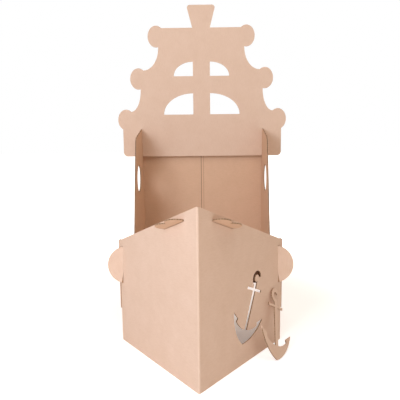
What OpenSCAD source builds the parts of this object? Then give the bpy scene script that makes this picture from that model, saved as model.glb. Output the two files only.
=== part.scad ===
// Cardboard ship playhouse: six die-cut sheets of corrugated board, folded and slotted together.
// Millimetres, +Z up, floor at z = 0, bow towards -Y, origin under the middle of the length.

/* [Board] */
// thickness of the corrugated board
board_t = 4; // [3:0.5:6]
// inside radius of every fold
fold_r = 1; // [0.5:0.5:3]
// play on each side of a sheet that stands in a slot
slot_gap = 0.5; // [0.25:0.05:1]
// gap left where one sheet leans or lies on another
seat_gap = 0.2; // [0.1:0.05:0.4]
// depth of a pressed score line
score_depth = 1; // [0.4:0.1:1]

/* [Hull] */
// width over the bow sheet at its corner folds
hull_w = 560; // [480:5:640]
// length of the bow, apex fold to corner folds
bow_len = 380; // [300:5:460]
// length of the sides, corner folds to the stern
side_len = 760; // [660:5:880]
// height of the bow at the apex
apex_h = 548; // [480:2:620]
// height of the bow at the corner folds
corner_h = 368; // [320:2:410]
// level end of the bow rim beside each corner fold
rim_flat = 8; // [4:1:16]
// length of the flap that is glued inside each side
flap_len = 60; // [40:2:90]
// fall of the flap's top edge towards its end
flap_fall = 26; // [10:1:40]

/* [Sides and stern] */
// height of the stern wall and of the sides at the stern
stern_h = 722; // [640:2:800]
// fall of the top edge of a side, stern to front corner
wing_fall = 35; // [10:1:70]
// length of the high part of a side along its top
wing_top_len = 246; // [180:2:320]
// length of the high part of a side at the waist
wing_foot_len = 386; // [320:2:440]
// radius of the front top corner of a side
wing_round = 40; // [20:2:90]
// height of a side at its low waist
waist_h = 250; // [190:2:300]
// distance from the corner fold back to the start of the waist
waist_start = 165; // [120:2:210]
// radius where the waist curves up at both ends
waist_round = 90; // [40:2:120]
// height of the step cut under the front of each side
step_h = 118; // [80:2:160]
// length of that step
step_len = 46; // [30:1:56]
// radius in the corner of the step
step_round = 14; // [6:1:24]
// radius of the front top corner of each side, beside the bow
lip_round = 4; // [2:1:10]
// diameter of a porthole
port_d = 118; // [80:1:150]
// height of a porthole's centre
port_h = 505; // [440:1:540]
// distance of a porthole's centre from the stern
port_back = 180; // [140:1:210]
// distance between the two score lines of the stern fold
score_gap = 11; // [6:0.5:20]

/* [Spreader] */
// half height of the spreader, and radius of its round ears
ear_r = 66; // [50:1:78]
// reach of an ear beyond the slot in the bow
ear_reach = 55; // [35:1:80]
// distance from a corner fold forward to the spreader
spreader_in = 18; // [12:1:26]
// height of the slots cut in the lower edge of the spreader
ear_lap = 40; // [25:1:60]
// width of the slit that opens each ear slot to the rim
ear_slit = 0.4; // [0.2:0.1:1]

/* [Bow deck] */
// distance of the deck below the bow rim
deck_drop = 23.5; // [16:0.5:40]
// distance from the apex fold to the cut nose of the deck
deck_nose = 42; // [25:1:60]
// play between the deck's sides and the bow
deck_gap = 1; // [0.5:0.1:2]
// overhang of the deck behind the spreader
deck_over = 12; // [4:1:30]
// distance from the apex fold to the tab slots
tab_from = 66; // [50:1:100]
// length of a tab slot
tab_len = 116; // [80:1:150]
// reach of a tab outside the bow
tab_out = 42; // [34:1:55]
// swell of the tab's lobes past the ends of the slot
tab_swell = 2.5; // [1:0.1:4]

/* [Sail] */
// gap between the sail and the stern wall
sail_back = 25; // [12:1:45]
// height of the sail's bottom edge
sail_foot_h = 591; // [560:1:620]
// overhang of the sail's foot outside each side
sail_over = 84; // [50:1:120]
// radius of the bottom corners
foot_round = 18; // [6:1:30]
// height of the lowest yard above the sail's foot
yard3_up = 170; // [150:1:200]
// height of the middle yard above the sail's foot
yard2_up = 356.5; // [330:0.5:380]
// height of the top yard above the sail's foot
yard1_up = 544; // [520:1:570]
// reach of the lowest yard past the foot
yard3_out = 21.5; // [12:0.5:30]
// how much shorter the middle yard is at each end
yard2_in = 61.5; // [45:0.5:75]
// how much shorter still the top yard is at each end
yard1_in = 85; // [65:1:105]
// half height of the rounded yard ends
lobe_h = 48; // [38:1:56]
// half width of the rounded yard ends
lobe_w = 38; // [30:1:46]
// set-back of the sail's edge behind a yard's rounded end
neck_in = 9; // [4:1:14]
// distance from a yard's rounded end to the scallop above it
shoulder = 24; // [16:1:30]
// depth of a scallop's floor below the top of the yard's end
scallop_dip = 10; // [6:1:14]
// height of the roof line above the middle of the top yard
roof_up = 37; // [25:1:45]
// height of the lookout above the roof line
nest_h = 99; // [70:1:130]
// half width of the lookout at its base
nest_base = 40; // [30:1:50]
// half width of the lookout at its top
nest_top = 66; // [52:1:84]
// radius of the lookout's top corners
nest_round = 12; // [4:1:20]
// half width of the mast between the windows
mast_half = 39; // [28:1:50]
// height of the lower window sills above the foot
win2_up = 193; // [175:1:210]
// width of a lower window
win2_w = 136; // [100:1:150]
// height of a lower window
win2_h = 96; // [70:1:110]
// height of the upper window sills above the foot
win1_up = 367; // [350:1:385]
// width of an upper window
win1_w = 88; // [60:1:100]
// height of an upper window
win1_h = 64; // [45:1:75]

/* [Anchor] */
// outer radius of the anchor's ring
ring_r = 25; // [20:0.5:30]
// width of the ring's band
ring_w = 13; // [8:0.5:16]
// angle above level at which the open side of the ring starts, degrees
ring_open = 22; // [0:1:45]
// width of the shank
shank_w = 17; // [12:0.5:20]
// distance from the ring's centre down to the stock
stock_down = 38; // [30:0.5:45]
// length of the stock
stock_len = 90; // [70:1:120]
// width of the stock
stock_w = 8; // [6:0.5:12]
// distance from the ring's centre down to the point
point_down = 215; // [195:1:235]
// radius of the outer curve of each arm
arm_r = 147; // [135:1:160]
// half span of the arms at their widest
arm_half = 102; // [90:1:112]
// distance from the ring's centre down to the crown between the arms
crown_down = 169; // [150:1:180]
// radius of the inner curve of the arms
crown_r = 118; // [112:1:130]
// size of the barb on each fluke
barb = 34; // [20:1:44]
// place of the cut-out's ring along the bow panel
hole_along = 310; // [270:1:340]
// height of the cut-out's ring centre
hole_h = 266; // [250:1:285]
// turn of the cut-out on the panel, degrees
hole_turn = 24; // [10:1:30]
// place of the loose anchor's point along the bow panel
rest_along = 308; // [250:1:340]
// turn of the loose anchor in its own plane, degrees
rest_turn = 31; // [10:1:40]
// lean of the loose anchor against the panel, degrees
rest_lean = 18.5; // [10:0.5:30]
// turn of the loose anchor about the vertical, right end towards the panel, degrees
rest_yaw = 5; // [0:0.5:8]

/* [Hidden] */

// fold radii and the places along the length
fold_out = fold_r + board_t;
total_len = fold_out + bow_len + side_len;
apex_y = -total_len / 2 + fold_out;
corner_y = apex_y + bow_len;
stern_y = total_len / 2;
corner_x = hull_w / 2 - fold_out;
side_in = hull_w / 2;
side_out = side_in + board_t;

// bow panels: half angle of the bow, straight length, slope of the rim
bow_angle = atan2(corner_x, bow_len);
panel_len = norm([corner_x, bow_len]);
rim_slope = (apex_h - corner_h) / (panel_len - rim_flat);
rim_angle = atan(rim_slope);
mid_r = fold_r + board_t / 2;

// deck plane: slope, reference point and the line where it meets a bow panel
deck_angle = atan(rim_slope / cos(bow_angle));
deck_y = apex_y - sin(bow_angle) * mid_r;
deck_z = apex_h - deck_drop;
deck_dir = unit([sin(bow_angle), cos(bow_angle) / cos(deck_angle)]);
deck_out = [deck_dir[1], -deck_dir[0]];
deck_start = [cos(bow_angle) * mid_r, 0];
tilt_cos = deck_dir[1] * cos(bow_angle) + deck_dir[0] * cos(deck_angle) * sin(bow_angle);
tilt_tan = sqrt(1 - tilt_cos * tilt_cos) / tilt_cos;
deck_half = board_t / 2 * (1 / tilt_cos + tilt_tan);
lobe_r = tab_len / 4 + tab_swell;

// spreader: place across the bow and its height under the deck
spreader_y = corner_y - spreader_in;
spreader_u = (spreader_y - deck_y) / cos(bow_angle);
spreader_x = cos(bow_angle) * mid_r + spreader_u * sin(bow_angle);
deck_under = deck_z - tan(deck_angle) * (spreader_y + board_t / 2 - deck_y) - board_t / 2 / cos(deck_angle);
spreader_top = deck_under - seat_gap;
spreader_foot = spreader_top - 2 * ear_r;
ear_lap_h = spreader_foot + ear_lap;

// sides: top edge at the sail, and the height where sail and sides lap
sail_y = stern_y - board_t - sail_back - board_t;
wing_slope = wing_fall / wing_top_len;
wing_at_sail = stern_h - wing_slope * (stern_y - sail_y);
lap_h = (sail_foot_h + wing_at_sail) / 2;
side_mid = side_in + board_t / 2;

// sail: half width of the foot, ends and centres of the yards
foot_half = side_out + sail_over;
yard3_x = foot_half + yard3_out;
yard2_x = yard3_x - yard2_in;
yard1_x = yard2_x - yard1_in;
yard3_z = sail_foot_h + yard3_up;
yard2_z = sail_foot_h + yard2_up;
yard1_z = sail_foot_h + yard1_up;
roof_z = yard1_z + roof_up;

// anchor: the circles of its arms, with depths counted down from the ring's centre
arm_x = arm_r - arm_half;
arm_down = point_down - sqrt(arm_r * arm_r - arm_x * arm_x);
crown_mid = crown_down - crown_r;
horn_way = [-arm_x, crown_mid - arm_down];
horn_along = (crown_r * crown_r - arm_r * arm_r + horn_way * horn_way) / (2 * norm(horn_way));
horn_side = sqrt(crown_r * crown_r - horn_along * horn_along);
horn = [0, -crown_mid] + unit(horn_way) * horn_along
    + [-unit(horn_way)[1], unit(horn_way)[0]] * horn_side;
barb_root = horn[0] - 0.85 * barb;
root_turn = acos(barb_root / crown_r);
arm_line = concat(
    arc([-arm_x, -arm_down], arm_r, arm_r, -acos(arm_x / arm_r), -acos((horn[0] + arm_x) / arm_r), 16),
    [horn - [barb, barb / 2]],
    arc([0, -crown_mid], crown_r, crown_r, -root_turn, -88, 12));
rest_lift = max(0, arm_r - arm_x * sin(rest_turn) - (point_down - arm_down) * cos(rest_turn));
// fall of the loose anchor towards the panel, per unit along its own x and y, and its place before it
rest_fall = [sin(rest_lean) * cos(rest_yaw) * sin(rest_turn) - sin(rest_yaw) * cos(rest_turn),
    -sin(rest_lean) * cos(rest_yaw) * cos(rest_turn) - sin(rest_yaw) * sin(rest_turn)];
rest_out = seat_gap + ring_r * norm(rest_fall) + sin(rest_yaw) * point_down * sin(rest_turn)
    + sin(rest_lean) * cos(rest_yaw) * (point_down * cos(rest_turn) + rest_lift);

function unit(v) = v / norm(v);
function arc(c, rx, ry, from, to, n) =
    [for (i = [0:n]) let (a = from + (to - from) * i / n) [c[0] + rx * cos(a), c[1] + ry * sin(a)]];
function flip(pts) = [for (i = [len(pts) - 1:-1:0]) [-pts[i][0], pts[i][1]]];
function back(pts) = [for (i = [len(pts) - 1:-1:0]) pts[i]];

// arc of radius r that rounds the corner b of the line a, b, c
function corner_arc(a, b, c, r, n) =
    let (u = unit(a - b), w = unit(c - b), half = acos(u * w) / 2)
    let (m = b + unit(u + w) * r / sin(half))
    let (p = b + u * r / tan(half), q = b + w * r / tan(half))
    let (from = atan2(p[1] - m[1], p[0] - m[0]), to = atan2(q[1] - m[1], q[0] - m[0]))
    let (turn = (to - from + 540) % 360 - 180)
    [for (i = [0:n]) m + r * [cos(from + turn * i / n), sin(from + turn * i / n)]];

// outline from points [x, y, r], each corner rounded by its own r
function rounded(pts, n = 10) =
    let (k = len(pts))
    let (xy = [for (p = pts) [p[0], p[1]]])
    [for (i = [0:k - 1]) each pts[i][2] == 0 ? [xy[i]]
        : corner_arc(xy[(i + k - 1) % k], xy[i], xy[(i + 1) % k], pts[i][2], n)];

// point of the deck plane at a distance along the bow panel and out from its middle
function deck_at(along, out) = deck_start + deck_dir * along + deck_out * out;

// half of the bow sheet in plan, as an offset r from the fold centres
function bow_line(r) = concat(
    arc([0, apex_y], r, r, -90, -bow_angle, 8),
    arc([corner_x, corner_y], r, r, -bow_angle, 0, 6),
    [[corner_x + r, corner_y + flap_len]]);

// half of the stern sheet in plan, from the front of a side round to the middle of the stern
function stern_line(r) = concat(
    [[side_out - fold_out + r, corner_y]],
    arc([side_out - fold_out, stern_y - fold_out], r, r, 0, 90, 8));

// places the right bow panel's own plane: x along from the apex, y up, z out of the outer face
module on_panel() {
    translate([cos(bow_angle) * fold_out, apex_y - sin(bow_angle) * fold_out, 0])
        rotate([90, 0, 90 - bow_angle])
            children();
}

// anchor outline with the ring's centre at the origin
module anchor_outline() {
    difference() {
        circle(r = ring_r, $fn = 64);
        circle(r = ring_r - ring_w, $fn = 48);
        // the open stretch of the ring, from its right side down to the shank
        polygon([[0, 0], 2 * ring_r * [cos(ring_open), sin(ring_open)], [2 * ring_r, -2 * ring_r],
            [shank_w / 2, -2 * ring_r], [shank_w / 2, 0]]);
    }
    translate([-shank_w / 2, -(crown_down + point_down) / 2])
        square([shank_w, (crown_down + point_down) / 2 - ring_r + ring_w / 2]);
    translate([-stock_len / 2, -stock_down - stock_w / 2])
        square([stock_len, stock_w]);
    polygon(concat(arm_line, flip([for (i = [1:len(arm_line) - 1]) arm_line[i]])));
}

// what is cut from a bow panel: the sloping rim and the tab slot
module panel_cuts() {
    top = apex_h + 10;
    polygon([[0, apex_h], [panel_len - rim_flat, corner_h], [panel_len + 2 * fold_out, corner_h],
        [panel_len + 2 * fold_out, top], [0, top]]);
    translate([0, apex_h - deck_drop])
        rotate(-rim_angle)
            translate([tab_from - slot_gap, -deck_half - slot_gap])
                square([tab_len + 2 * slot_gap, 2 * (deck_half + slot_gap)]);
}

// slot in a bow panel for the spreader, and the slit above it that lets the spreader in from the rim
module ear_slot() {
    half = board_t / 2 + slot_gap;
    translate([spreader_x - 5 * board_t, spreader_y - half, ear_lap_h])
        cube([10 * board_t, 2 * half, spreader_top + slot_gap - ear_lap_h]);
    translate([spreader_x - 5 * board_t, spreader_y - ear_slit / 2, spreader_top])
        cube([10 * board_t, ear_slit, apex_h]);
}

module bow_hull() {
    color("#d9b894")
    difference() {
        linear_extrude(apex_h)
            polygon(concat(bow_line(fold_out), back(bow_line(fold_r)),
                flip(back(bow_line(fold_r))), flip(bow_line(fold_out))));
        for (s = [0, 1])
            mirror([s, 0, 0]) {
                on_panel()
                    translate([0, 0, -board_t - 1])
                        linear_extrude(board_t + 2)
                            panel_cuts();
                ear_slot();
            }
        on_panel()
            translate([hole_along, hole_h, -board_t - 1])
                linear_extrude(board_t + 2)
                    rotate(-hole_turn)
                        anchor_outline();
        translate([-hull_w, 0, 0])
            rotate([90, 0, 90])
                linear_extrude(2 * hull_w)
                    polygon([[corner_y - fold_out, corner_h], [corner_y, corner_h],
                        [corner_y + flap_len + 1, corner_h - flap_fall],
                        [corner_y + flap_len + 1, apex_h + 10], [corner_y - fold_out, apex_h + 10]]);
    }
}

// side outline in the length and height plane, front to stern
module side_outline() {
    polygon(rounded([
        [corner_y, step_h, 0],
        [corner_y, corner_h, lip_round],
        [corner_y + waist_start, waist_h, waist_round],
        [stern_y - wing_foot_len, waist_h, waist_round],
        [stern_y - wing_top_len, stern_h - wing_fall, wing_round],
        [stern_y + 1, stern_h + wing_slope, 0],
        [stern_y + 1, 0, 0],
        [corner_y + step_len, 0, 0],
        [corner_y + step_len, step_h, step_round]]));
}

module stern_hull() {
    color("#c79f7b")
    difference() {
        intersection() {
            linear_extrude(stern_h)
                polygon(concat(stern_line(fold_out), flip(stern_line(fold_out)),
                    flip(back(stern_line(fold_r))), back(stern_line(fold_r))));
            translate([-hull_w, 0, 0])
                rotate([90, 0, 90])
                    linear_extrude(2 * hull_w)
                        side_outline();
        }
        translate([-hull_w, stern_y - port_back, port_h])
            rotate([0, 90, 0])
                cylinder(h = 2 * hull_w, d = port_d, $fn = 96);
        for (s = [-1, 1]) {
            translate([s * side_mid - board_t, sail_y - slot_gap, lap_h])
                cube([2 * board_t, board_t + 2 * slot_gap, stern_h]);
            translate([s * score_gap / 2, stern_y - board_t, -1])
                rotate([0, 0, 45])
                    translate([-score_depth, -score_depth, 0] / sqrt(2))
                        cube([score_depth * sqrt(2), score_depth * sqrt(2), stern_h + 2]);
        }
    }
}

module spreader() {
    end_x = spreader_x + ear_reach - ear_r;
    mid_z = spreader_foot + ear_r;
    color("#d2ac88")
    difference() {
        translate([0, spreader_y + board_t / 2, 0])
            rotate([90, 0, 0])
                linear_extrude(board_t)
                    polygon(concat(arc([end_x, mid_z], ear_r, ear_r, -90, 90, 32),
                        arc([-end_x, mid_z], ear_r, ear_r, 90, 270, 32)));
        for (s = [0, 1])
            mirror([s, 0, 0])
                on_panel()
                    translate([spreader_u - 5 * board_t, spreader_foot - 1, -board_t - slot_gap])
                        cube([10 * board_t, ear_lap + 1, board_t + 2 * slot_gap]);
    }
}

module bow_deck() {
    edge = -deck_half - deck_gap;
    rear = (spreader_y + board_t / 2 + deck_over - deck_y) / cos(deck_angle);
    rear_along = (rear - deck_at(0, edge)[1]) / deck_dir[1];
    lobe_out = deck_half + tab_out - lobe_r;
    notch = acos((tab_len / 4) / lobe_r);
    c1 = tab_from + tab_len / 4;
    c2 = tab_from + tab_len * 3 / 4;
    tab = concat(
        [[deck_nose, edge], [tab_from, edge], [tab_from, deck_half + 1]],
        arc([c1, lobe_out], lobe_r, lobe_r, 180, notch, 16),
        arc([c2, lobe_out], lobe_r, lobe_r, 180 - notch, 0, 16),
        [[tab_from + tab_len, deck_half + 1], [tab_from + tab_len, edge], [rear_along, edge]]);
    half = [for (p = tab) deck_at(p[0], p[1])];
    color("#dcbd9b")
    translate([0, deck_y, deck_z])
        rotate([-deck_angle, 0, 0])
            translate([0, 0, -board_t / 2])
                linear_extrude(board_t)
                    polygon(concat(half, flip(half)));
}

// scallop between two yards: from the foot of the upper one to the shoulder of the lower one
function scallop(low_x, low_z, high_x, high_z) =
    let (c = [low_x - lobe_w - shoulder, high_z - lobe_h])
    let (rx = c[0] - (high_x - lobe_w - neck_in))
    arc(c, rx, c[1] - (low_z + lobe_h - scallop_dip), 284, 180, 14);

module sail_outline() {
    body = concat(
        corner_arc([0, sail_foot_h], [foot_half, sail_foot_h], [foot_half, yard3_z], foot_round, 8),
        [[foot_half, yard3_z], [yard3_x - lobe_w, yard3_z]],
        scallop(yard3_x, yard3_z, yard2_x, yard2_z),
        [[yard2_x - lobe_w - neck_in, yard2_z], [yard2_x - lobe_w, yard2_z]],
        scallop(yard2_x, yard2_z, yard1_x, yard1_z),
        [[yard1_x - lobe_w - neck_in, yard1_z], [yard1_x - lobe_w - neck_in, roof_z], [nest_base, roof_z]],
        corner_arc([nest_base, roof_z], [nest_top, roof_z + nest_h], [0, roof_z + nest_h], nest_round, 6));
    polygon(concat(body, flip(body)));
    for (y = [[yard1_x, yard1_z], [yard2_x, yard2_z], [yard3_x, yard3_z]])
        for (s = [-1, 1])
            polygon(arc([s * (y[0] - lobe_w), y[1]], lobe_w, lobe_h, 0, 355, 71));
}

// quarter round window beside the mast
module window(up, w, h) {
    polygon(concat([[mast_half, sail_foot_h + up]], arc([mast_half, sail_foot_h + up], w, h, 0, 90, 18)));
}

module sail_panel() {
    color("#e0c1a4")
    translate([0, sail_y + board_t, 0])
        rotate([90, 0, 0])
            linear_extrude(board_t)
                difference() {
                    sail_outline();
                    for (s = [0, 1])
                        mirror([s, 0]) {
                            window(win1_up, win1_w, win1_h);
                            window(win2_up, win2_w, win2_h);
                            translate([side_in - slot_gap, sail_foot_h - 1])
                                square([board_t + 2 * slot_gap, lap_h - sail_foot_h + 1]);
                        }
                }
}

module anchor() {
    color("#c9a078")
    on_panel()
        translate([rest_along, 0, rest_out])
            rotate([0, rest_yaw, 0])
                rotate([-rest_lean, 0, 0])
                    translate([0, rest_lift, 0])
                        rotate([0, 0, -rest_turn])
                            translate([0, point_down, 0])
                                linear_extrude(board_t)
                                    anchor_outline();
}

bow_hull();
stern_hull();
spreader();
bow_deck();
sail_panel();
anchor();
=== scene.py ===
# %% [markdown]
# # A play ship of corrugated board
#
# The ship is made of six die-cut sheets of brown corrugated board. The frame brings the sheets in
# as plain solids of the right size, folded and slotted together. This lesson turns each solid into
# real board: two paper liners with a wavy sheet of fluting between them, so that every cut edge
# shows its flutes. All sizes are in metres, and mm() turns millimetres into metres.

# %% Load the frame
import math

import bpy
from mathutils import Matrix, Vector
from mathutils.bvhtree import BVHTree


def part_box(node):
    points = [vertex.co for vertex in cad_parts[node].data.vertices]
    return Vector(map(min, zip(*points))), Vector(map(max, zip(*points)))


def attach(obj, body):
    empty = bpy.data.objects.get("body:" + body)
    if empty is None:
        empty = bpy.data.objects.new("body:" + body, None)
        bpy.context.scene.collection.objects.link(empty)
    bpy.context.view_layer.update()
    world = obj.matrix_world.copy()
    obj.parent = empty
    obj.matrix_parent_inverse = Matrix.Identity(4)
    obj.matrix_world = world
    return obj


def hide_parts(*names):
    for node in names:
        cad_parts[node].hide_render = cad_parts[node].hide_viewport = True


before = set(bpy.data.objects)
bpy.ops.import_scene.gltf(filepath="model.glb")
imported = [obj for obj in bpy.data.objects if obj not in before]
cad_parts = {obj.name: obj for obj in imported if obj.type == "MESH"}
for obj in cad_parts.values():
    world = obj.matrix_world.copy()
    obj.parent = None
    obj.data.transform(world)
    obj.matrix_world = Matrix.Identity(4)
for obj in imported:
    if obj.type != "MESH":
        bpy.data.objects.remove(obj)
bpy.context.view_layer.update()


def mm(size):
    """Millimetres as metres."""
    return size / 1000


sail_low, sail_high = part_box("sail_panel")
board_t = sail_high.y - sail_low.y
stern_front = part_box("stern_hull")[0].y
print("sheets:", sorted(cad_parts), "board thickness in mm:", round(board_t * 1000, 2))

# %% [markdown]
# ## The camera
#
# The photo was taken from in front of the bow, from about the height of a standing child, with the
# camera tipped down a little. Its place and its turn were found from the straight edges of the hull.
# The three turns are written in degrees, so that each can be read by itself: to the right, down,
# and about the line of sight.

# %% Place the camera
CAMERA_PLACE = Vector((0.0351, -2.0433, 0.8147))
TURN_RIGHT = math.radians(-1.06)
TURN_DOWN = math.radians(9.534)
TURN_ROLL = math.radians(-0.6245)
PHOTO_PIXELS = 400
FOCAL_PIXELS = 550

level_right = Vector((math.cos(TURN_RIGHT), -math.sin(TURN_RIGHT), 0))
sight = Vector((
    math.sin(TURN_RIGHT) * math.cos(TURN_DOWN),
    math.cos(TURN_RIGHT) * math.cos(TURN_DOWN),
    -math.sin(TURN_DOWN),
))
level_up = level_right.cross(sight)
camera_right = level_right * math.cos(TURN_ROLL) + level_up * math.sin(TURN_ROLL)
camera_up = level_up * math.cos(TURN_ROLL) - level_right * math.sin(TURN_ROLL)

bpy.ops.object.camera_add()
camera = bpy.context.active_object
camera.matrix_world = (
    Matrix.Translation(CAMERA_PLACE)
    @ Matrix((camera_right, camera_up, -sight)).transposed().to_4x4()
)
camera.data.sensor_width = 36
camera.data.lens = camera.data.sensor_width * FOCAL_PIXELS / PHOTO_PIXELS
bpy.context.scene.camera = camera
print("lens in mm:", camera.data.lens)

# %% [markdown]
# ## Small helpers for every step
#
# Operators act on whatever is selected, and the frame leaves its own sheets selected. So each step
# first selects just what it works on. A modifier is a recipe, and applying it bakes the recipe into
# the mesh.


# %% Helpers for objects and modifiers
def only(*objects):
    """Selects these objects and nothing else, and makes the first one active."""
    bpy.ops.object.select_all(action="DESELECT")
    for item in objects:
        item.select_set(True)
    bpy.context.view_layer.objects.active = objects[0]


def finish_with(item, kind, **settings):
    """Adds a modifier with these settings and applies it at once."""
    only(item)
    modifier = item.modifiers.new(kind.title(), kind)
    for key, value in settings.items():
        setattr(modifier, key, value)
    bpy.ops.object.modifier_apply(modifier=modifier.name)


# %% [markdown]
# ## Colours and nodes
#
# A colour is written as the hex code that a paint program shows. Blender's shaders work in linear
# light, so one function converts it. A second small function adds a node to a material: it sets the
# node's own settings, then fills its inputs with numbers or links them to other nodes' outputs.


# %% Helpers for materials
def paint(code):
    """Linear RGBA of an sRGB hex code."""
    parts = [int(code[i:i + 2], 16) / 255 for i in (1, 3, 5)]
    linear = [c / 12.92 if c <= 0.04045 else ((c + 0.055) / 1.055) ** 2.4 for c in parts]
    return (*linear, 1)


def add_node(tree, kind, inputs=None, **settings):
    """Adds one node. inputs maps a socket's name or number to a value or to an output socket."""
    made = tree.nodes.new(kind)
    for key, value in settings.items():
        setattr(made, key, value)
    for key, value in (inputs or {}).items():
        if isinstance(value, bpy.types.NodeSocket):
            tree.links.new(value, made.inputs[key])
        else:
            made.inputs[key].default_value = value
    return made


def new_material(name):
    """An empty node material and its output node."""
    material = bpy.data.materials.new(name)
    material.use_nodes = True
    material.node_tree.nodes.clear()
    return material, material.node_tree, material.node_tree.nodes.new("ShaderNodeOutputMaterial")


# %% [markdown]
# ## Kraft liner
#
# The outside of the board is kraft liner: unbleached paper from long wood fibres, rolled smooth but
# not coated. The eye sees a warm, matte brown with soft clouds, short fibres that run along the
# paper machine's direction, and a few dark specks. The flutes below show through as very faint
# ridges, like a washboard. `across` is the direction across the flutes of one sheet. The faces
# looking into the hull and the lower side of the deck get a darker, browner copy of the paper:
# painted shade. On the stern wall two thin dark lines of painted shade run along the score down its
# middle, where its grooves lie in shade.

# %% Kraft liner material
FLUTE_PITCH = mm(7.8)
CLOUD_SIZE = mm(55)
# Real fibres and specks are finer. They are drawn this coarse so that they show.
FIBRE_SIZE = mm(2.4)
FIBRE_STRETCH = 7
SPECK_SIZE = mm(1.6)
RIDGE_HEIGHT = mm(0.06)
# Painted shade along the score of the stern wall: the width of its lines.
SCORE_SHADE_WIDTH = mm(2.4)
OUTER_PAPER = ("#dabaa2", "#e4c7b2")
# Painted shade: a darker, browner copy of the paper for the faces inside the hull and under the deck.
SHADED_PAPER = ("#d7b192", "#e2bda0")
LINER_ROUGHNESS = (0.74, 0.9)
SPECK_COLOUR = "#8d6546"
SPECK_STRENGTH = 0.35
# The colour of the painted shade along the score.
SCORE_SHADE_COLOUR = "#774a30"
CLOUD_SHARE = 0.4


def kraft_liner(name, across, paper, score_shades=()):
    """Matte unbleached paper. Fibres and faint ridges follow the flutes; dark lines of painted shade
    along scores are given as (x, strength).
    """
    material, tree, output = new_material(name)
    place = add_node(tree, "ShaderNodeTexCoord").outputs["Object"]
    along_wave = add_node(
        tree, "ShaderNodeVectorMath", {0: place, 1: across}, operation="DOT_PRODUCT"
    )
    turns = add_node(
        tree, "ShaderNodeMath", {0: along_wave.outputs["Value"], 1: 2 * math.pi / FLUTE_PITCH},
        operation="MULTIPLY",
    )
    ridge = add_node(tree, "ShaderNodeMath", {0: turns.outputs[0]}, operation="SINE")
    clouds = add_node(
        tree, "ShaderNodeTexNoise",
        {"Vector": place, "Scale": 1 / CLOUD_SIZE, "Detail": 4, "Roughness": 0.6},
    )
    stretch = [1 - (1 - 1 / FIBRE_STRETCH) * (1 - abs(a)) for a in across]
    fibre_place = add_node(
        tree, "ShaderNodeVectorMath", {0: place, 1: stretch}, operation="MULTIPLY"
    )
    fibres = add_node(
        tree, "ShaderNodeTexNoise",
        {"Vector": fibre_place.outputs[0], "Scale": 1 / FIBRE_SIZE, "Detail": 3, "Roughness": 0.7},
    )
    specks = add_node(
        tree, "ShaderNodeTexNoise", {"Vector": place, "Scale": 1 / SPECK_SIZE, "Detail": 1}
    )
    cloud_part = add_node(
        tree, "ShaderNodeMath", {0: clouds.outputs["Fac"], 1: CLOUD_SHARE}, operation="MULTIPLY"
    )
    tone = add_node(
        tree, "ShaderNodeMath",
        {0: fibres.outputs["Fac"], 1: 1 - CLOUD_SHARE, 2: cloud_part.outputs[0]},
        operation="MULTIPLY_ADD",
    )
    ramp = add_node(tree, "ShaderNodeValToRGB", {"Fac": tone.outputs[0]})
    ramp.color_ramp.elements[0].position = 0.3
    ramp.color_ramp.elements[0].color = paint(paper[0])
    ramp.color_ramp.elements[1].position = 0.7
    ramp.color_ramp.elements[1].color = paint(paper[1])
    speck_mask = add_node(
        tree, "ShaderNodeMapRange",
        {
            "Value": specks.outputs["Fac"], "From Min": 0.7, "From Max": 0.8,
            "To Max": SPECK_STRENGTH,
        },
    )
    colour = add_node(
        tree, "ShaderNodeMix",
        {
            "Factor": speck_mask.outputs["Result"], "A": ramp.outputs["Color"],
            "B": paint(SPECK_COLOUR),
        },
        data_type="RGBA",
    )
    apart = add_node(tree, "ShaderNodeSeparateXYZ", {0: place})
    # Painted shade: dark lines along the scores, where the grooves lie in shade. Each line's strength
    # sets how dark it is painted.
    for spot, strength in score_shades:
        near = add_node(
            tree, "ShaderNodeMath", {0: apart.outputs["X"], 1: spot, 2: SCORE_SHADE_WIDTH / 2},
            operation="COMPARE",
        )
        score_shade = add_node(
            tree, "ShaderNodeMath", {0: near.outputs[0], 1: strength}, operation="MULTIPLY"
        )
        colour = add_node(
            tree, "ShaderNodeMix",
            {
                "Factor": score_shade.outputs[0], "A": colour.outputs["Result"],
                "B": paint(SCORE_SHADE_COLOUR),
            },
            data_type="RGBA",
        )
    height = add_node(
        tree, "ShaderNodeMath", {0: ridge.outputs[0], 1: 0.5, 2: fibres.outputs["Fac"]},
        operation="MULTIPLY_ADD",
    )
    bump = add_node(
        tree, "ShaderNodeBump",
        {"Height": height.outputs[0], "Distance": RIDGE_HEIGHT, "Strength": 0.6},
    )
    rough = add_node(
        tree, "ShaderNodeMapRange",
        {
            "Value": clouds.outputs["Fac"], "To Min": LINER_ROUGHNESS[0],
            "To Max": LINER_ROUGHNESS[1],
        },
    )
    shader = add_node(
        tree, "ShaderNodeBsdfPrincipled",
        {
            "Base Color": colour.outputs["Result"],
            "Roughness": rough.outputs["Result"],
            "Specular IOR Level": 0.25,
            "Normal": bump.outputs["Normal"],
        },
    )
    tree.links.new(shader.outputs["BSDF"], output.inputs["Surface"])
    return material


# %% [markdown]
# ## Raw edge and fluting
#
# Where the die cuts through a liner, the edge is torn fibre: paler and rougher than the rolled face.
# The fluting in the middle is a cheaper recycled paper, greyer and darker. Little light gets in
# between the liners, which is why a cut edge looks dark from a step away. Torn fibre is finer than
# a tenth of a millimetre, so the mottle is drawn much coarser to make it show.


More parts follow.
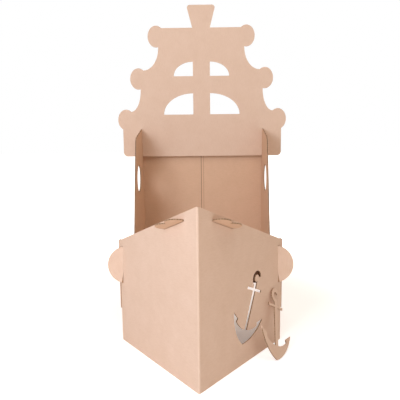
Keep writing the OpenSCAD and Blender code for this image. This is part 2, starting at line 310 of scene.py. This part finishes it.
# %% Raw edge and fluting materials
def raw_paper(name, pale, dark, grain):
    """Rough paper with an even mottle of two colours."""
    material, tree, output = new_material(name)
    place = add_node(tree, "ShaderNodeTexCoord").outputs["Object"]
    mottle = add_node(
        tree, "ShaderNodeTexNoise",
        {"Vector": place, "Scale": 1 / grain, "Detail": 3, "Roughness": 0.65},
    )
    ramp = add_node(tree, "ShaderNodeValToRGB", {"Fac": mottle.outputs["Fac"]})
    ramp.color_ramp.elements[0].position = 0.35
    ramp.color_ramp.elements[0].color = paint(dark)
    ramp.color_ramp.elements[1].position = 0.65
    ramp.color_ramp.elements[1].color = paint(pale)
    bump = add_node(
        tree, "ShaderNodeBump",
        {"Height": mottle.outputs["Fac"], "Distance": mm(0.1), "Strength": 0.7},
    )
    shader = add_node(
        tree, "ShaderNodeBsdfPrincipled",
        {
            "Base Color": ramp.outputs["Color"],
            "Roughness": 0.92,
            "Specular IOR Level": 0.15,
            "Normal": bump.outputs["Normal"],
        },
    )
    tree.links.new(shader.outputs["BSDF"], output.inputs["Surface"])
    return material


EDGE_MOTTLE = mm(9)
raw_edge = raw_paper("raw_liner_edge", "#e6c9ab", "#c39c78", EDGE_MOTTLE)
fluting = raw_paper("recycled_fluting", "#c29a76", "#8f6749", EDGE_MOTTLE)
print("materials:", raw_edge.name, fluting.name)

# %% [markdown]
# ## Board from a solid sheet
#
# A die-cut sheet has two kinds of face: the broad paper faces, and the narrow cut faces round its
# outline and its openings. They can be told apart by looking straight in from a face. From a paper
# face the other side is just one board thickness away, and from a cut face it is much further.
#
# The bow has two slits through which the spreader is pushed in. They spring shut behind it, so
# their two sides are merged into one line first.

# %% Liners from the paper faces
# A real liner is about 0.3 mm thick. It is drawn twice as thick so that it shows at the edges.
LINER_T = mm(0.6)
MERGE_REACH = mm(0.002)
SLIT_REACH = mm(0.3)
SLIT_MERGE = mm(0.7)
THINNEST = 0.6 * board_t
THICKEST = 1.5 * board_t


def solid_copy(node, name):
    """A copy of a frame sheet with its loose triangles merged into one closed solid."""
    copy = bpy.data.objects.new(name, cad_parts[node].data.copy())
    bpy.context.scene.collection.objects.link(copy)
    copy.data.materials.clear()
    only(copy)
    bpy.ops.object.mode_set(mode="EDIT")
    bpy.ops.mesh.select_all(action="SELECT")
    bpy.ops.mesh.remove_doubles(threshold=MERGE_REACH)
    bpy.ops.object.mode_set(mode="OBJECT")
    return copy


def close_slits(solid):
    """Lets the slits over the spreader's ears spring shut: their two sides become one line."""
    spreader_low, spreader_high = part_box("spreader")
    slit_y = (spreader_low.y + spreader_high.y) / 2

    def pick():
        """Selects the corners of the slits and returns their numbers."""
        for vertex in solid.data.vertices:
            beside = abs(vertex.co.y - slit_y) < SLIT_REACH
            vertex.select = beside and vertex.co.z > spreader_high.z + SLIT_REACH
        return {vertex.index for vertex in solid.data.vertices if vertex.select}

    only(solid)
    in_slit = pick()
    for edge in solid.data.edges:
        edge.select = set(edge.vertices) <= in_slit
    for face in solid.data.polygons:
        face.select = set(face.vertices) <= in_slit
    bpy.ops.object.mode_set(mode="EDIT")
    bpy.ops.mesh.select_mode(type="VERT")
    bpy.ops.mesh.delete(type="ONLY_FACE")
    bpy.ops.object.mode_set(mode="OBJECT")
    pick()
    bpy.ops.object.mode_set(mode="EDIT")
    bpy.ops.mesh.remove_doubles(threshold=SLIT_MERGE)
    bpy.ops.object.mode_set(mode="OBJECT")
    print("slit corners:", len(in_slit))


def paper_faces(solid):
    """Numbers of the faces that have a parallel face one board thickness below them."""
    tree = BVHTree.FromObject(solid, bpy.context.evaluated_depsgraph_get())
    found = []
    for face in solid.data.polygons:
        start = face.center - face.normal * mm(0.01)
        _, normal, _, depth = tree.ray_cast(start, -face.normal, 2 * board_t)
        if normal is not None and THINNEST < depth < THICKEST:
            if normal.dot(face.normal) < -0.6:
                found.append(face.index)
    return found


def liners(solid, name, across, score_shades, covered, in_shade):
    """The two paper liners of a sheet, with raw edges where the die cut them."""
    paper = set(paper_faces(solid))
    paper.update(face.index for face in solid.data.polygons if covered(face))
    piece = bpy.data.objects.new(name, solid.data.copy())
    bpy.context.scene.collection.objects.link(piece)
    piece.data.materials.append(kraft_liner("kraft_liner_" + name, across, OUTER_PAPER))
    piece.data.materials.append(raw_edge)
    # Faces that look into the hull or downwards get the darker paper as painted shade.
    if any(in_shade(face) for face in piece.data.polygons):
        shaded_liner = kraft_liner("shaded_liner_" + name, across, SHADED_PAPER, score_shades)
        piece.data.materials.append(shaded_liner)
        piece.data.materials.append(raw_edge)
    for face in piece.data.polygons:
        face.material_index = 2 if in_shade(face) else 0
    only(piece)
    bpy.ops.object.mode_set(mode="EDIT")
    bpy.ops.mesh.select_mode(type="FACE")
    bpy.ops.mesh.select_all(action="DESELECT")
    bpy.ops.object.mode_set(mode="OBJECT")
    for face in piece.data.polygons:
        face.select = face.index not in paper
    bpy.ops.object.mode_set(mode="EDIT")
    bpy.ops.mesh.delete(type="FACE")
    bpy.ops.object.mode_set(mode="OBJECT")
    finish_with(
        piece, "SOLIDIFY", thickness=LINER_T, offset=-1, use_even_offset=True,
        use_rim=True, material_offset_rim=1,
    )
    bpy.ops.object.shade_smooth_by_angle(angle=math.radians(35))
    finish_with(piece, "WEIGHTED_NORMAL", mode="FACE_AREA", weight=100, keep_sharp=True)
    return piece


# %% [markdown]
# ## Fluting between the liners
#
# The fluting is one wavy sheet. One wave is modelled from a narrow grid whose columns are lifted and
# lowered, an Array repeats it across the panel, Solidify gives it thickness, and a Boolean with the
# solid sheet trims it to the die-cut outline. A folded sheet has one flat panel for each wall, so the
# panels are first found by grouping the paper faces that lie in one plane.

# %% Fluting for every flat panel
# Real fluting paper is about half as thick. It is drawn thicker so that it shows at the edges.
FLUTE_T = mm(0.5)
# The crests reach this far into the liners, as if glued to them.
CREST_BITE = mm(0.05)
WAVE_STEPS = 8
SMALLEST_PANEL = 0.004
PANEL_LAP = mm(1.5)


def flat_panels(solid):
    """The flat walls of a sheet: middle plane normal, a point on it, and the corners seen there."""
    groups = {}
    for index in paper_faces(solid):
        face = solid.data.polygons[index]
        normal = face.normal.copy()
        middle = face.center - normal * board_t / 2
        if (round(normal.x, 3), round(normal.y, 3), round(normal.z, 3)) < (0, 0, 0):
            normal.negate()
        key = (*(round(v, 2) for v in normal), round(middle.dot(normal), 3))
        fresh = {"normal": normal, "middle": middle, "area": 0, "corners": []}
        group = groups.setdefault(key, fresh)
        group["area"] += face.area
        group["corners"] += [solid.data.vertices[v].co for v in face.vertices]
    return [g for g in groups.values() if g["area"] > 2 * SMALLEST_PANEL]


def flute_sheet(solid, panel, across, name):
    """A wavy sheet in the middle of one panel, trimmed to the sheet's outline."""
    normal = panel["normal"]
    up = (across - normal * across.dot(normal)).normalized()
    side = up.cross(normal)
    ups = [(c - panel["middle"]).dot(up) for c in panel["corners"]]
    sides = [(c - panel["middle"]).dot(side) for c in panel["corners"]]
    waves = math.ceil((max(ups) - min(ups) + 2 * PANEL_LAP) / FLUTE_PITCH)
    width = max(sides) - min(sides) + 2 * PANEL_LAP
    rise = board_t / 2 - LINER_T - FLUTE_T / 2 + CREST_BITE

    bpy.ops.mesh.primitive_grid_add(x_subdivisions=WAVE_STEPS, y_subdivisions=1, size=1)
    wave = bpy.context.active_object
    wave.name = name
    columns = sorted({round(v.co.x, 4) for v in wave.data.vertices})
    bpy.ops.object.mode_set(mode="EDIT")
    bpy.ops.mesh.select_mode(type="VERT")
    for column in columns:
        bpy.ops.mesh.select_all(action="DESELECT")
        bpy.ops.object.mode_set(mode="OBJECT")
        for vertex in wave.data.vertices:
            vertex.select = abs(vertex.co.x - column) < 0.001
        bpy.ops.object.mode_set(mode="EDIT")
        bpy.ops.transform.translate(value=(0, 0, rise * math.sin(2 * math.pi * column)))
    bpy.ops.mesh.select_all(action="SELECT")
    bpy.ops.transform.resize(value=(FLUTE_PITCH, width, 1))
    bpy.ops.object.mode_set(mode="OBJECT")
    finish_with(
        wave, "ARRAY", count=waves, use_relative_offset=True, relative_offset_displace=(1, 0, 0),
        use_merge_vertices=True, merge_threshold=MERGE_REACH,
    )
    finish_with(wave, "SOLIDIFY", thickness=FLUTE_T, offset=0)
    turn = Matrix((up, side, normal)).transposed().to_4x4()
    first = panel["middle"] + up * (min(ups) - PANEL_LAP + FLUTE_PITCH / 2)
    first += side * (max(sides) + min(sides)) / 2
    wave.matrix_world = Matrix.Translation(first) @ turn
    bpy.ops.object.transform_apply(location=True, rotation=True, scale=True)
    finish_with(wave, "BOOLEAN", operation="INTERSECT", object=solid, solver="EXACT")
    wave.data.materials.clear()
    wave.data.materials.append(fluting)
    bpy.ops.object.shade_smooth_by_angle(angle=math.radians(60))
    return wave


# %% [markdown]
# ## One sheet of board
#
# Now the parts come together: the solid copy is only a tool, so it is deleted once the liners and
# the fluting are made. The finished sheet rides with the frame and stands for its solid.


# %% Put a sheet together
COVER_DEPTH = mm(1)


def draw_in(solid, covered):
    """Moves the paper-covered edges of the tool solid inwards, so that the flutes end behind them."""
    shift = {}
    for face in solid.data.polygons:
        if covered(face):
            shift.update({corner: face.normal * -COVER_DEPTH for corner in face.vertices})
    for corner, way in shift.items():
        solid.data.vertices[corner].co += way


def none_of(face):
    """False for every face."""
    return False


def board_sheet(node, name, across, score_shades=(), covered=none_of, in_shade=none_of):
    """Turns one solid of the frame into a sheet of corrugated board."""
    solid = solid_copy(node, name + "_solid")
    if node == "bow_hull":
        close_slits(solid)
    across = Vector(across).normalized()
    sheet = liners(solid, name, across, score_shades, covered, in_shade)
    draw_in(solid, covered)
    waves = [
        flute_sheet(solid, panel, across, f"{name}_flutes_{i}")
        for i, panel in enumerate(flat_panels(solid))
    ]
    only(sheet, *waves)
    bpy.ops.object.join()
    bpy.data.objects.remove(solid)
    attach(sheet, "root")
    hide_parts(node)
    print(name, "panels:", len(waves), "faces:", len(sheet.data.polygons))


# %% [markdown]
# ## The hull sheets
#
# On both folded hull sheets the flutes run level: the photo shows their open ends along the front
# edges of the wings. So the waves are counted along the upright direction. Where the sides meet the
# bow, their front edges look smooth and pale, so paper covers the flutes there.

# %% Bow and stern sheets
UPRIGHT = (0, 0, 1)
ACROSS_SHIP = (1, 0, 0)
SCORE_GAP = mm(11)
# Each score line has its place across the ship and the strength of its painted shade; the first is
# painted darker than the second.
SCORE_SHADE_LINES = [(-SCORE_GAP / 2, 0.75), (SCORE_GAP / 2, 0.35)]


def looks_in(face):
    """True for a face that looks towards the middle of the ship."""
    return face.normal.x * face.center.x + face.normal.y * face.center.y < 0


def meets_bow(face):
    """True for the front edges of the sides, which stand against the bow."""
    return face.normal.y < -0.9 and face.center.y < stern_front + COVER_DEPTH


board_sheet("bow_hull", "bow_sheet", UPRIGHT, in_shade=looks_in)
board_sheet(
    "stern_hull", "stern_sheet", UPRIGHT, score_shades=SCORE_SHADE_LINES, covered=meets_bow, in_shade=looks_in
)

# %% [markdown]
# ## Spreader, deck and sail
# The photo doesn't show which way the flutes run in these three. They are drawn upright in the sail,
# where they keep it from bending over, and in the spreader, and along the ship in the deck. The lower
# side of the deck, seen under its tabs, gets the darker, browner paper as painted shade. The deck
# has its better liner on top, and the photo looks at the browner lower side of its tabs.


# %% Spreader, deck and sail sheets
def looks_down(face):
    """True for a face on the lower side."""
    return face.normal.z < -0.5


board_sheet("spreader", "spreader_sheet", ACROSS_SHIP)
board_sheet("bow_deck", "bow_deck_sheet", ACROSS_SHIP, in_shade=looks_down)
board_sheet("sail_panel", "sail_sheet", ACROSS_SHIP)

# %% [markdown]
# ## The loose anchor
#
# The anchor was punched from the bow, where the flutes run level. It leans with nearly the same
# turn, so its flutes are drawn level too.

# %% Anchor sheet
board_sheet("anchor", "anchor_sheet", UPRIGHT)

# %% [markdown]
# ## Floor and light
#
# The photo has a white ground and soft studio light. A broad, slightly cool lamp stands at the left
# in front. One above the bow lays soft shadows under the tabs of the deck. A wide, weak one low at
# the right works like a white card, and one behind the ship keeps the stern from looking dull. The
# room fills the shadows, more in front than behind, and with warmer light behind. The floor is a
# plain pale plane. Where the camera looks at them, straight or by way of something glossy or clear,
# the world is white and the floor is lifted, so that the ground runs into the background and still
# keeps the ship's shadow. Under the deck the floor is lifted less: the photo shows it grey through
# the anchor's opening.

# %% Floor
FLOOR_SIZE = 16
FLOOR_COLOUR = "#f8f8f8"
WHITE_FROM = 0.45
WHITE_AT = 1.2
FLOOR_LIFT = 0.5
UNDER_DECK_LIFT = 0.2
DECK_SHADE_FULL = -0.15
DECK_SHADE_END = 0.3
HULL_EDGE = mm(10)

bpy.ops.object.select_all(action="DESELECT")
bpy.ops.mesh.primitive_plane_add(size=FLOOR_SIZE)
floor = bpy.context.active_object
floor.name = "floor"


def seen_directly(tree):
    """1 for what the camera sees, straight or by way of something glossy or clear, and 0 for light."""
    rays = add_node(tree, "ShaderNodeLightPath").outputs
    straight = add_node(
        tree, "ShaderNodeMath", {0: rays["Is Camera Ray"], 1: rays["Is Glossy Ray"]},
        operation="MAXIMUM",
    )
    return add_node(
        tree, "ShaderNodeMath", {0: straight.outputs[0], 1: rays["Is Transmission Ray"]},
        operation="MAXIMUM",
    ).outputs[0]


def inside_hull(tree, place):
    """Metres that a point of the floor lies inside the hull's outline, below zero outside it."""
    bow_low, bow_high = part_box("bow_hull")
    slope = (stern_front - bow_low.y) / bow_high.x
    apart = add_node(tree, "ShaderNodeSeparateXYZ", {0: place})
    side = add_node(tree, "ShaderNodeMath", {0: apart.outputs["X"]}, operation="ABSOLUTE")
    behind = add_node(
        tree, "ShaderNodeMath", {0: side.outputs[0], 1: -slope, 2: apart.outputs["Y"]},
        operation="MULTIPLY_ADD",
    )
    from_bow = add_node(
        tree, "ShaderNodeMath", {0: behind.outputs[0], 1: bow_low.y}, operation="SUBTRACT"
    )
    from_side = add_node(
        tree, "ShaderNodeMath", {0: bow_high.x, 1: side.outputs[0]}, operation="SUBTRACT"
    )
    return add_node(
        tree, "ShaderNodeMath", {0: from_bow.outputs[0], 1: from_side.outputs[0]}, operation="MINIMUM"
    ).outputs[0]


floor_white, tree, output = new_material("white_paper_floor")
diffuse = add_node(tree, "ShaderNodeBsdfDiffuse", {"Color": paint(FLOOR_COLOUR)})
place = add_node(tree, "ShaderNodeTexCoord").outputs["Object"]
away = add_node(tree, "ShaderNodeVectorMath", {0: place}, operation="LENGTH")
along = add_node(tree, "ShaderNodeSeparateXYZ", {0: place})
# Painted shade: under the deck the floor's added glow drops from FLOOR_LIFT to UNDER_DECK_LIFT, so the
# floor there shows darker than in the open.
inside = add_node(
    tree, "ShaderNodeMapRange",
    {
        "Value": along.outputs["Y"], "From Min": DECK_SHADE_FULL, "From Max": DECK_SHADE_END,
        "To Min": UNDER_DECK_LIFT, "To Max": FLOOR_LIFT,
    },
)
near = add_node(
    tree, "ShaderNodeMapRange",
    {
        "Value": inside_hull(tree, place), "From Min": 0, "From Max": HULL_EDGE,
        "To Min": FLOOR_LIFT, "To Max": inside.outputs["Result"],
    },
)
rise = add_node(
    tree, "ShaderNodeMapRange",
    {
        "Value": away.outputs["Value"], "From Min": WHITE_FROM, "From Max": WHITE_AT,
        "To Min": near.outputs["Result"], "To Max": 1,
    },
    interpolation_type="SMOOTHSTEP",
)
lift = add_node(
    tree, "ShaderNodeMath", {0: seen_directly(tree), 1: rise.outputs["Result"]}, operation="MULTIPLY"
)
glow = add_node(tree, "ShaderNodeEmission", {"Strength": lift.outputs[0]})
both = add_node(tree, "ShaderNodeAddShader", {0: diffuse.outputs[0], 1: glow.outputs[0]})
tree.links.new(both.outputs[0], output.inputs["Surface"])
floor.data.materials.append(floor_white)
print("floor white from", WHITE_AT, "m outwards")

# %% World
FILL_FRONT = 0.56
FILL_BACK = 0.36
FRONT_COLOUR = paint("#fff6ec")
BACK_COLOUR = paint("#ffd3a8")
FRONT_UNTIL = -0.6
BACK_FROM = 0.4

world = bpy.data.worlds.new("studio")
bpy.context.scene.world = world
world.use_nodes = True
tree = world.node_tree
tree.nodes.clear()
output = tree.nodes.new("ShaderNodeOutputWorld")
way = add_node(tree, "ShaderNodeTexCoord").outputs["Generated"]
apart = add_node(tree, "ShaderNodeSeparateXYZ", {0: way})
behind = add_node(
    tree, "ShaderNodeMapRange",
    {"Value": apart.outputs["Y"], "From Min": FRONT_UNTIL, "From Max": BACK_FROM},
    interpolation_type="SMOOTHSTEP",
)
front_fill = add_node(
    tree, "ShaderNodeBackground", {"Color": FRONT_COLOUR, "Strength": FILL_FRONT}
)
back_fill = add_node(
    tree, "ShaderNodeBackground", {"Color": BACK_COLOUR, "Strength": FILL_BACK}
)
room = add_node(
    tree, "ShaderNodeMixShader",
    {0: behind.outputs["Result"], 1: front_fill.outputs[0], 2: back_fill.outputs[0]},
)
white = add_node(tree, "ShaderNodeBackground", {"Color": paint("#ffffff"), "Strength": 1})
background = add_node(
    tree, "ShaderNodeMixShader", {0: seen_directly(tree), 1: room.outputs[0], 2: white.outputs[0]}
)
tree.links.new(background.outputs[0], output.inputs["Surface"])
print("fill in front and behind:", FILL_FRONT, FILL_BACK)


# %% Lamps
AIM_HEIGHT = 0.45


def softbox(name, place, size, power, tint):
    """A square lamp that faces the middle of the ship."""
    bpy.ops.object.light_add(type="AREA", location=place)
    lamp = bpy.context.active_object
    lamp.name = name
    aim = Vector(place) - Vector((0, 0, AIM_HEIGHT))
    lamp.rotation_euler = aim.to_track_quat("Z", "Y").to_euler()
    lamp.data.size = size
    lamp.data.energy = power
    lamp.data.color = paint(tint)[:3]
    print(name, "watts:", power)


softbox("key_softbox", (-1.35, -2.35, 1.4), 1.2, 46, "#e6f0ff")
softbox("white_card", (0.8, -1.3, 0.15), 1.2, 3.4, "#ffffff")
softbox("top_softbox", (0.3, -1.2, 2.1), 0.6, 6, "#fff8f0")
softbox("back_softbox", (0.5, 2.7, 1.1), 1, 12, "#ffffff")

# %% Plain colour view
bpy.context.scene.view_settings.view_transform = "Standard"
